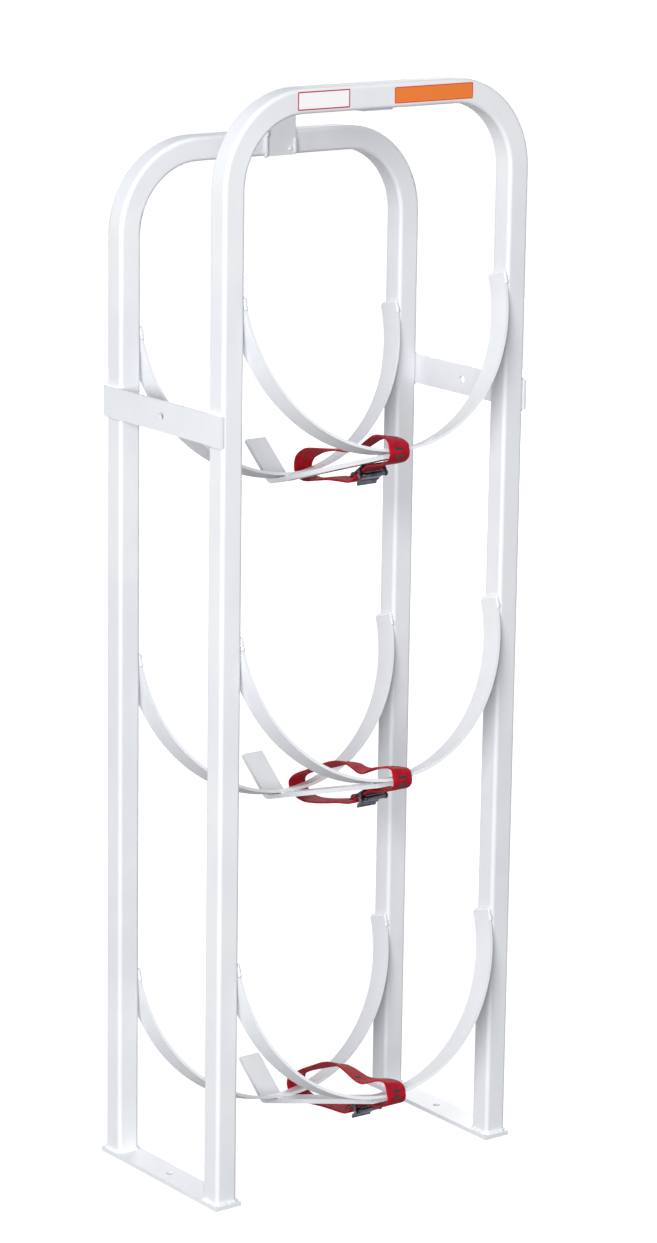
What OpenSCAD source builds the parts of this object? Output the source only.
// Upright rack for three refrigerant cylinders that lie on their sides, nose down to the rear.
// Two bent tube hoops stand on foot plates. Each level has two bent cradle strips, a centre rail
// with a turned-up stop, and a webbing strap with a cam buckle.
// X runs along the hoops, Y to the rear and Z up. The origin is midway between the foot holes.

/* [Hoops] */
// Outside width of both hoops
hoop_w = 384; // [340:1:460]
// Height of the rear hoop above the floor
rear_h = 1088; // [1050:1:1300]
// Rise of the front hoop above the rear hoop
hoop_step = 66; // [40:1:150]
// Distance between the middles of the two hoops
hoop_spacing = 181.2; // [150:0.1:230]
// Outside size of the square tube
tube = 25.4; // [22:0.1:32]
// Wall of the tube
tube_wall = 1.65; // [1.2:0.05:3]
// Outside corner radius of the tube
tube_corner_r = 4; // [3.2:0.1:5]
// Bend radius of the hoops at the middle of the tube
hoop_bend_r = 84; // [60:1:110]

/* [Feet] */
// Thickness of the foot plates
foot_t = 4.8; // [3:0.1:8]
// How far a foot plate reaches past the tubes on each side
foot_lap = 3.2; // [1:0.1:10]
// Diameter of the bolt hole in each foot plate
foot_hole_d = 7.94; // [5:0.1:14]

/* [Side bars] */
// Height of the lower edge of the side bars
side_bar_z = 804.5; // [700:0.5:900]
// Width of the side bars
side_bar_w = 31.8; // [20:0.1:50]
// Thickness of the side bars
side_bar_t = 3.2; // [2:0.1:8]
// How far a side bar reaches past the tubes at each end
side_bar_lap = 1; // [0:0.1:8]
// Diameter of the hole in each side bar
side_hole_d = 7.94; // [5:0.1:14]

/* [Top link] */
// Width of the link plate between the hoop tops
link_w = 38; // [25:0.5:60]
// Thickness of the link plate
link_t = 3.2; // [2:0.1:5]
// Middle of the link plate, to the right of the middle of the rack
link_x = 5; // [-40:0.1:40]
// How far the link plate reaches under the front top bar
link_lap = 11; // [6:0.5:20]
// Inside radius of the bend in the link plate
link_bend_r = 5; // [3:0.5:10]

/* [Cradles] */
// Width of the cradle strips
strip_w = 25.4; // [18:0.1:30]
// Thickness of the cradle strips
strip_t = 3.2; // [2.5:0.1:5]
// How far the cylinders lean down to the rear
cradle_tilt = 17; // [10:0.5:20]
// Straight end of each cradle strip along its post
cradle_tip = 3; // [2:0.5:20]
// How far the front corner of a cradle end lies behind the front face of its post
cradle_setback = 3.5; // [1:0.1:6]
// Height of the lowest point of the bottom front cradle, inside
level_z = 102; // [96:1:150]
// Distance from one level to the next
level_pitch = 345; // [300:1:350]

/* [Rails] */
// Width of the rail
rail_w = 25.4; // [18:0.1:30]
// Thickness of the rail
rail_t = 4.8; // [3:0.1:6]
// Middle of the rail, to the right of the middle of the rack
rail_x = -4; // [-10:0.5:0]
// Distance of the rail's front end behind the front edge of the front cradle
rail_front = 13.4; // [10:0.1:16]
// Angle by which the stop is bent up from the rail
stop_angle = 57; // [30:1:80]
// Straight length of the stop
stop_len = 53; // [30:1:60]
// Inside radius of the bend below the stop
stop_bend_r = 5; // [3:0.5:8]

/* [Straps] */
// Width of the webbing
strap_w = 25.4; // [20:0.1:26]
// Thickness of the webbing
strap_t = 2.2; // [1.5:0.1:2.6]
// Angle of the strap to the rail, seen from above
strap_yaw = 7.4; // [6:0.1:9]
// The same angle for the top strap
top_strap_yaw = 10.6; // [9:0.1:12]
// Middle of the two lower straps where they pass the front cradle
strap_x = 3.6; // [0:0.1:6]
// Middle of the top strap where it passes the front cradle
top_strap_x = -8.6; // [-10:0.1:0]
// Clearance of the webbing to what it rests on and passes through
strap_gap = 0.3; // [0.2:0.05:0.5]

/* [Buckles] */
// Distance of the cam pin behind the front edge of the front cradle
buckle_y = 66; // [62:0.5:72]
// Clearance between the rail and the buckle frame under it
buckle_gap = 0.6; // [0.4:0.1:3]
// Angle by which the buckle leans down to the rear
buckle_tilt = 14; // [8:0.5:14]
// Thickness of the pressed buckle frame
buckle_t = 1.6; // [1.2:0.1:2]
// Length of the frame from the cam pin to its open end
buckle_front = 11; // [9:0.5:11]
// Distance from the cam pin to the middle of the bar that the webbing is sewn round
buckle_bar_y = 22; // [21:0.5:26]
// Width of that bar
buckle_bar_w = 3.4; // [3:0.1:4]
// Diameter of the cam pin
pin_d = 3; // [2.6:0.1:3.4]
// Height of the pin heads
pin_head_t = 1; // [0.8:0.1:1.6]
// Radius of the cam, over its teeth
cam_r = 3.8; // [3.6:0.1:4.4]
// Depth of the cam teeth
cam_tooth = 0.9; // [0.6:0.05:1]
// Number of cam teeth
cam_teeth = 5; // [3:1:6]
// Length of the lever from the pin to its lip
lever_len = 21; // [18:0.5:26]
// Thickness of the lever
lever_t = 1.8; // [1.4:0.1:2.2]
// Diameter of the spring wire
spring_wire_d = 1; // [0.8:0.05:1.1]
// Number of turns of the spring
spring_turns = 4; // [3:1:4]

/* [Hidden] */
$fn = 72;

// Levels from the bottom up
LOWER = 0;
MIDDLE = 1;
UPPER = 2;

// Enamelled steel, webbing and plated steel
paint = [0.91, 0.92, 0.93];
webbing = [0.72, 0.06, 0.14];
plating = [0.33, 0.33, 0.37];
bright = [0.62, 0.62, 0.66];

// Places of the hoops
front_h = rear_h + hoop_step;
post_x = (hoop_w - tube) / 2;
hoop_y = hoop_spacing / 2;
bay_half = hoop_w / 2 - tube;

// The cradle strips are half rings that just fit between the posts
cradle_ro = bay_half;
cradle_ri = cradle_ro - strip_t;
cradle_rise = cradle_ri + cradle_tip;
cradle_y = -hoop_y - tube / 2 + cradle_setback - cradle_rise * sin(cradle_tilt);
rear_cradle_y = hoop_spacing / cos(cradle_tilt);
rail_len = rear_cradle_y + strip_w - rail_front;

// The link plate stands on the front face of the rear bar and ends under the front bar
link_up = hoop_step - link_t - link_bend_r;
link_over = hoop_spacing - tube - link_t - link_bend_r + link_lap;

// Buckle sizes that follow from the webbing
buckle_in = strap_w + 1.6;
buckle_w = buckle_in + 2 * buckle_t;
buckle_plate_z = strap_t / 2 + strap_gap;
buckle_slot = strap_t + 2 * strap_gap + 0.2;
buckle_drop = strip_t + rail_t + buckle_gap
    + buckle_front * sin(buckle_tilt) + (buckle_plate_z + buckle_t) * cos(buckle_tilt);
pin_z = -(strap_t / 2 + strap_gap + cam_r);
ear_r = pin_d / 2 + 1.9;
running_gap = 0.08;
spring_r = pin_d / 2 + 0.35 + spring_wire_d / 2;
spring_pitch = spring_wire_d - 0.05;
cam_x0 = -buckle_in / 2 + spring_turns * spring_pitch + 0.85;
cam_x1 = buckle_in / 2 - 0.3;

// Webbing eye round the bar of the buckle
eye_ri = buckle_bar_w / 2 + 0.5;
eye_r = eye_ri + strap_t / 2;
eye_z = buckle_plate_z + buckle_t / 2;

// Where each strap hangs against the front edge of its front cradle
seat = [
    for (level = [LOWER, MIDDLE, UPPER])
        let (yaw = strap_angle(level))
        -(strap_gap + strap_t / 2 + strap_w / 2 * sin(yaw)) / cos(yaw)
];

// Slack of each strap, from the buckle bar round the rear cradle and back round the front one.
// Y is measured back from the front edge of the front cradle and Z up from its inside.
slack = [
    [[100, -22.2], [124, -19.2], [150, -16], [180, -13.5], [204, -11.5], [217.5, -6], [221.5, 1],
     [221.5, 7.5], [217, 13.2], [204, 17], [180, 21.4], [154, 25], [130, 27.6], [112, 27.6],
     [98, 24.6], [84, 19.2], [70, 13.6], [57, 11], [43, 11.2], [28, 12.6], [12, 12.6], [1, 10.4],
     [seat[LOWER], 5], [seat[LOWER], 0], [seat[LOWER], -5], [0.9, -9.8], [10, -12.3], [24, -12.6],
     [36, -12.2]],
    [[100, -22.2], [124, -20.4], [150, -19.8], [180, -18.4], [204, -15.5], [221, -9], [229, -0.5],
     [228.5, 6.5], [220, 11], [204, 13.6], [180, 15.6], [154, 18], [130, 20.2], [112, 20],
     [98, 18], [86, 13.4], [75, 9.6], [63, 8.6], [50, 10.2], [36, 11], [20, 10.4], [8, 9.6],
     [0, 7.8], [seat[MIDDLE], 5], [seat[MIDDLE], 0], [seat[MIDDLE], -5], [0.9, -9.8], [10, -12.3],
     [24, -12.6], [36, -12.2]],
    [[100, -22.2], [124, -18.4], [150, -14.5], [180, -12.2], [207, -10], [222, -5], [227.5, 1.5],
     [226.5, 8], [219, 14.5], [205, 18], [188, 19.3], [165, 17.4], [140, 14.6], [116, 11.6],
     [100, 9.3], [85, 8.8], [68, 11.2], [50, 14.6], [33, 16], [16, 14.2], [3, 10],
     [seat[UPPER], 5], [seat[UPPER], 0], [seat[UPPER], -5], [0.9, -9.8], [10, -12.3], [24, -12.6],
     [36, -12.2]],
];
spline_steps = 5;
arc_steps = 12;

// A point between b and c on the smooth curve through a, b, c and d
function between(a, b, c, d, t) =
    0.5 * (2 * b + (c - a) * t + (2 * a - 5 * b + 4 * c - d) * t * t
           + (3 * b - a - 3 * c + d) * t * t * t);

// A smooth open curve through all the points
function smooth(p) =
    let (last = len(p) - 1)
    concat(
        [for (i = [0:last - 1]) for (k = [0:spline_steps - 1])
            between(p[max(i - 1, 0)], p[i], p[i + 1], p[min(i + 2, last)], k / spline_steps)],
        [p[last]]
    );

// Unit vector to the left of the curve at point i
function side_of(p, i) =
    let (d = p[min(i + 1, len(p) - 1)] - p[max(i - 1, 0)])
    [-d[1], d[0]] / norm(d);

// Outline of a band of even thickness along a curve
function band(p, t) =
    concat(
        [for (i = [0:len(p) - 1]) p[i] + side_of(p, i) * t / 2],
        [for (i = [len(p) - 1:-1:0]) p[i] - side_of(p, i) * t / 2]
    );

// A point of the eye round the buckle bar, at an angle from straight back
function eye_point(angle) =
    in_buckle(buckle_bar_y + eye_r * cos(angle), eye_z + eye_r * sin(angle));

// The strap's whole route, from the end of its eye to its free end between plate and cam
function strap_route(level) =
    concat(
        [for (angle = [-370:20:-110]) eye_point(angle)],
        smooth(concat(
            [eye_point(-90)],
            slack[level],
            [in_buckle(-buckle_front - 8, -1.1)],
            [for (y = [-buckle_front - 2, -buckle_front + 5, 1, 8, 14]) in_buckle(y, 0)]
        ))
    );

// A point of the leaning buckle in the plane of the strap's route
function in_buckle(y, z) =
    [buckle_y + y * cos(buckle_tilt) + z * sin(buckle_tilt),
     -buckle_drop - y * sin(buckle_tilt) + z * cos(buckle_tilt)];

// Puts children at a level, in the plane that leans with the cylinders
module at_level(level) {
    translate([0, cradle_y, level_z + level * level_pitch])
        rotate([-cradle_tilt, 0, 0])
            children();
}

// Angle of a level's strap to the rail
function strap_angle(level) =
    level == UPPER ? top_strap_yaw : strap_yaw;

// Puts children at a level, in line with its strap
module at_strap(level) {
    at_level(level)
        translate([level == UPPER ? top_strap_x : strap_x, 0, 0])
            rotate([0, 0, -strap_angle(level)])
                children();
}

// Puts children at a level's buckle, with X across the webbing and the webbing at Z = 0
module at_buckle(level) {
    at_strap(level)
        translate([0, buckle_y, -buckle_drop])
            rotate([-buckle_tilt, 0, 0])
                children();
}

// Turns an outline drawn in Y and Z into a solid from X = x0 to x1
module across(x0, x1) {
    translate([x0, 0, 0])
        rotate([90, 0, 90])
            linear_extrude(x1 - x0)
                children();
}

// Square with rounded corners, drawn round the origin
module round_square(size, r) {
    square([size, size - 2 * r], center = true);
    square([size - 2 * r, size], center = true);
    for (x = [-1, 1], y = [-1, 1])
        translate([x, y] * (size / 2 - r))
            circle(r);
}

module tube_section() {
    difference() {
        round_square(tube, tube_corner_r);
        round_square(tube - 2 * tube_wall, tube_corner_r - tube_wall);
    }
}

// One hoop in the XZ plane, standing on the foot plates
module hoop(h) {
    bar_x = post_x - hoop_bend_r;
    bend_z = h - tube / 2 - hoop_bend_r;
    for (x = [-post_x, post_x])
        translate([x, 0, foot_t])
            linear_extrude(bend_z - foot_t)
                tube_section();
    for (side = [0, 1])
        translate([side == 0 ? bar_x : -bar_x, 0, bend_z])
            rotate([90, 0, 0])
                rotate([0, 0, side * 90])
                    rotate_extrude(angle = 90)
                        translate([hoop_bend_r, 0])
                            tube_section();
    translate([-bar_x, 0, h - tube / 2])
        rotate([90, 0, 90])
            linear_extrude(2 * bar_x)
                tube_section();
}

module front_hoop() {
    color(paint)
        translate([0, -hoop_y, 0])
            hoop(front_h);
}

module rear_hoop() {
    color(paint)
        translate([0, hoop_y, 0])
            hoop(rear_h);
}

// Flat bar under the front and rear post of one side, side = -1 on the left and 1 on the right
module foot_plate(side) {
    plate_w = tube + 2 * foot_lap;
    plate_l = hoop_spacing + tube + 2 * foot_lap;
    color(paint)
        translate([side * post_x, 0, 0])
            difference() {
                translate([-plate_w / 2, -plate_l / 2, 0])
                    cube([plate_w, plate_l, foot_t]);
                translate([0, 0, -1])
                    cylinder(h = foot_t + 2, d = foot_hole_d);
            }
}

// Flat bar on the outer faces of the posts of one side
module side_bar(side) {
    bar_l = hoop_spacing + tube + 2 * side_bar_lap;
    x0 = side > 0 ? hoop_w / 2 : -hoop_w / 2 - side_bar_t;
    color(paint)
        difference() {
            translate([x0, -bar_l / 2, side_bar_z])
                cube([side_bar_t, bar_l, side_bar_w]);
            translate([x0 - 1, 0, side_bar_z + side_bar_w / 2])
                rotate([0, 90, 0])
                    cylinder(h = side_bar_t + 2, d = side_hole_d);
        }
}

// Points of an arc from one angle to another
function arc_points(centre, r, from, to) =
    [for (i = [0:arc_steps])
        let (angle = from + (to - from) * i / arc_steps)
        centre + r * [cos(angle), sin(angle)]];

// Flat bar along Y that is bent up to a straight tail
module bent_bar(w, t, length, r, angle, tail) {
    centre = [length, t + r];
    across(0, w)
        polygon(concat(
            [[0, 0]],
            arc_points(centre, r + t, -90, angle - 90),
            [for (edge = [r + t, r])
                centre + edge * [sin(angle), -cos(angle)] + tail * [cos(angle), sin(angle)]],
            arc_points(centre, r, angle - 90, -90),
            [[0, t]]
        ));
}

// Stands on the face of the rear top bar and is bent over to lie under the front top bar
module top_link_plate() {
    color(paint)
        translate([link_x - link_w / 2, hoop_y - tube / 2, rear_h - tube])
            rotate([90, 0, 0])
                bent_bar(link_w, link_t, link_up, link_bend_r, 90, link_over);
}

// Half ring with two short straight ends
module cradle_outline() {
    translate([0, cradle_ri])
        difference() {
            circle(cradle_ro, $fn = 144);
            circle(cradle_ri, $fn = 144);
            translate([-hoop_w, 0])
                square([2 * hoop_w, hoop_w]);
        }
    for (x = [-cradle_ro, cradle_ri])
        translate([x, cradle_ri])
            square([strip_t, cradle_tip]);
}

// One cradle strip whose front edge lies at y in its level's plane
module cradle(level, y) {
    color(paint)
        at_level(level)
            translate([0, y + strip_w, 0])
                rotate([90, 0, 0])
                    linear_extrude(strip_w)
                        cradle_outline();
}

// Flat bar under both cradles of a level, bent up behind the rear one as a stop
module rail(level) {
    color(paint)
        at_level(level)
            translate([rail_x - rail_w / 2, rail_front, -strip_t - rail_t])
                bent_bar(rail_w, rail_t, rail_len, stop_bend_r, stop_angle, stop_len);
}

// One length of webbing: an eye round the buckle bar, a slack loop round both cradles and the rail,
// and a free end between the plate and the cam
module strap(level) {
    color(webbing)
        at_strap(level)
            across(-strap_w / 2, strap_w / 2)
                polygon(band(strap_route(level), strap_t));
}

// Side wall of the buckle frame with its round end at the pin
module ear_outline() {
    translate([-ear_r, pin_z])
        square([2 * ear_r, buckle_plate_z + buckle_t - pin_z]);
    translate([0, pin_z])
        circle(ear_r);
}

// Pressed channel with two ears for the pin and a slotted end for the webbing's eye
module buckle_frame(level) {
    plate_l = buckle_front + buckle_bar_y + buckle_bar_w / 2;
    slot_l = buckle_slot;
    color(plating)
        at_buckle(level)
            difference() {
                union() {
                    translate([-buckle_w / 2, -buckle_front, buckle_plate_z])
                        cube([buckle_w, plate_l, buckle_t]);
                    across(-buckle_w / 2, -buckle_in / 2)
                        ear_outline();
                    across(buckle_in / 2, buckle_w / 2)
                        ear_outline();
                }
                translate([-strap_w / 2 - 0.4, buckle_bar_y - buckle_bar_w / 2 - slot_l, 0])
                    cube([strap_w + 0.8, slot_l, 2 * buckle_plate_z + buckle_t]);
                translate([-buckle_w, 0, pin_z])
                    rotate([0, 90, 0])
                        cylinder(h = 2 * buckle_w, d = pin_d + 0.1);
            }
}

// Toothed cam with its thumb lever, drawn with the pin at the origin
module cam_outline() {
    hub_r = cam_r - cam_tooth;
    difference() {
        union() {
            circle(hub_r);
            for (i = [0:cam_teeth - 1])
                rotate(48 + i * 84 / (cam_teeth - 1))
                    translate([hub_r - 0.2, 0])
                        polygon([[-0.6, -0.7], [cam_tooth + 0.2, -0.2], [cam_tooth + 0.2, 0.2], [-0.6, 0.7]]);
            translate([0, -lever_t / 2])
                square([lever_len, lever_t]);
            for (i = [0:2])
                translate([lever_len - 1 - i * 2.5, -lever_t / 2])
                    circle(0.7, $fn = 48);
            translate([lever_len, 0])
                rotate(-40)
                    translate([0, -lever_t / 2])
                        square([4, lever_t]);
            translate([lever_len, 0])
                circle(lever_t / 2);
        }
        circle(pin_d / 2 + running_gap);
    }
}

module cam_lever(level) {
    color(bright)
        at_buckle(level)
            translate([0, 0, pin_z])
                across(cam_x0, cam_x1)
                    cam_outline();
}

// Rivet through both ears and the cam
module cam_pin(level) {
    color(bright)
        at_buckle(level)
            translate([0, 0, pin_z])
                rotate([0, 90, 0]) {
                    translate([0, 0, -buckle_w / 2 - pin_head_t])
                        cylinder(h = buckle_w + 2 * pin_head_t, d = pin_d);
                    for (z = [-buckle_w / 2 - pin_head_t, buckle_w / 2])
                        translate([0, 0, z])
                            cylinder(h = pin_head_t, d = 1.8 * pin_d);
                }
}

// Close-wound coil beside the cam, with one leg hooked in front of the ear
module cam_spring(level) {
    x0 = -buckle_in / 2 + 0.35 + spring_wire_d / 2;
    leg_y = -ear_r - 0.3 - spring_wire_d / 2;
    color(bright)
        at_buckle(level)
            translate([0, 0, pin_z]) {
                translate([x0, 0, 0])
                    rotate([0, 90, 0])
                        rotate_extrude()
                            for (i = [0:spring_turns - 1])
                                translate([spring_r, i * spring_pitch])
                                    circle(d = spring_wire_d, $fn = 48);
                translate([x0, 0, -spring_r])
                    rotate([90, 0, 0])
                        cylinder(h = -leg_y, d = spring_wire_d, $fn = 48);
                translate([x0 - 2.4, leg_y, -spring_r])
                    rotate([0, 90, 0])
                        cylinder(h = 2.4 + spring_wire_d / 2, d = spring_wire_d, $fn = 48);
            }
}

front_hoop();
rear_hoop();
foot_plate(-1);  // left_foot_plate
foot_plate(1);  // right_foot_plate
side_bar(-1);  // left_side_bar
side_bar(1);  // right_side_bar
top_link_plate();
cradle(UPPER, 0);  // upper_front_cradle
cradle(MIDDLE, 0);  // middle_front_cradle
cradle(LOWER, 0);  // lower_front_cradle
cradle(UPPER, rear_cradle_y);  // upper_rear_cradle
cradle(MIDDLE, rear_cradle_y);  // middle_rear_cradle
cradle(LOWER, rear_cradle_y);  // lower_rear_cradle
rail(UPPER);  // upper_rail
rail(MIDDLE);  // middle_rail
rail(LOWER);  // lower_rail
strap(UPPER);  // upper_strap
strap(MIDDLE);  // middle_strap
strap(LOWER);  // lower_strap
buckle_frame(UPPER);  // upper_buckle_frame
buckle_frame(MIDDLE);  // middle_buckle_frame
buckle_frame(LOWER);  // lower_buckle_frame
cam_lever(UPPER);  // upper_cam_lever
cam_lever(MIDDLE);  // middle_cam_lever
cam_lever(LOWER);  // lower_cam_lever
cam_pin(UPPER);  // upper_cam_pin
cam_pin(MIDDLE);  // middle_cam_pin
cam_pin(LOWER);  // lower_cam_pin
cam_spring(UPPER);  // upper_cam_spring
cam_spring(MIDDLE);  // middle_cam_spring
cam_spring(LOWER);  // lower_cam_spring
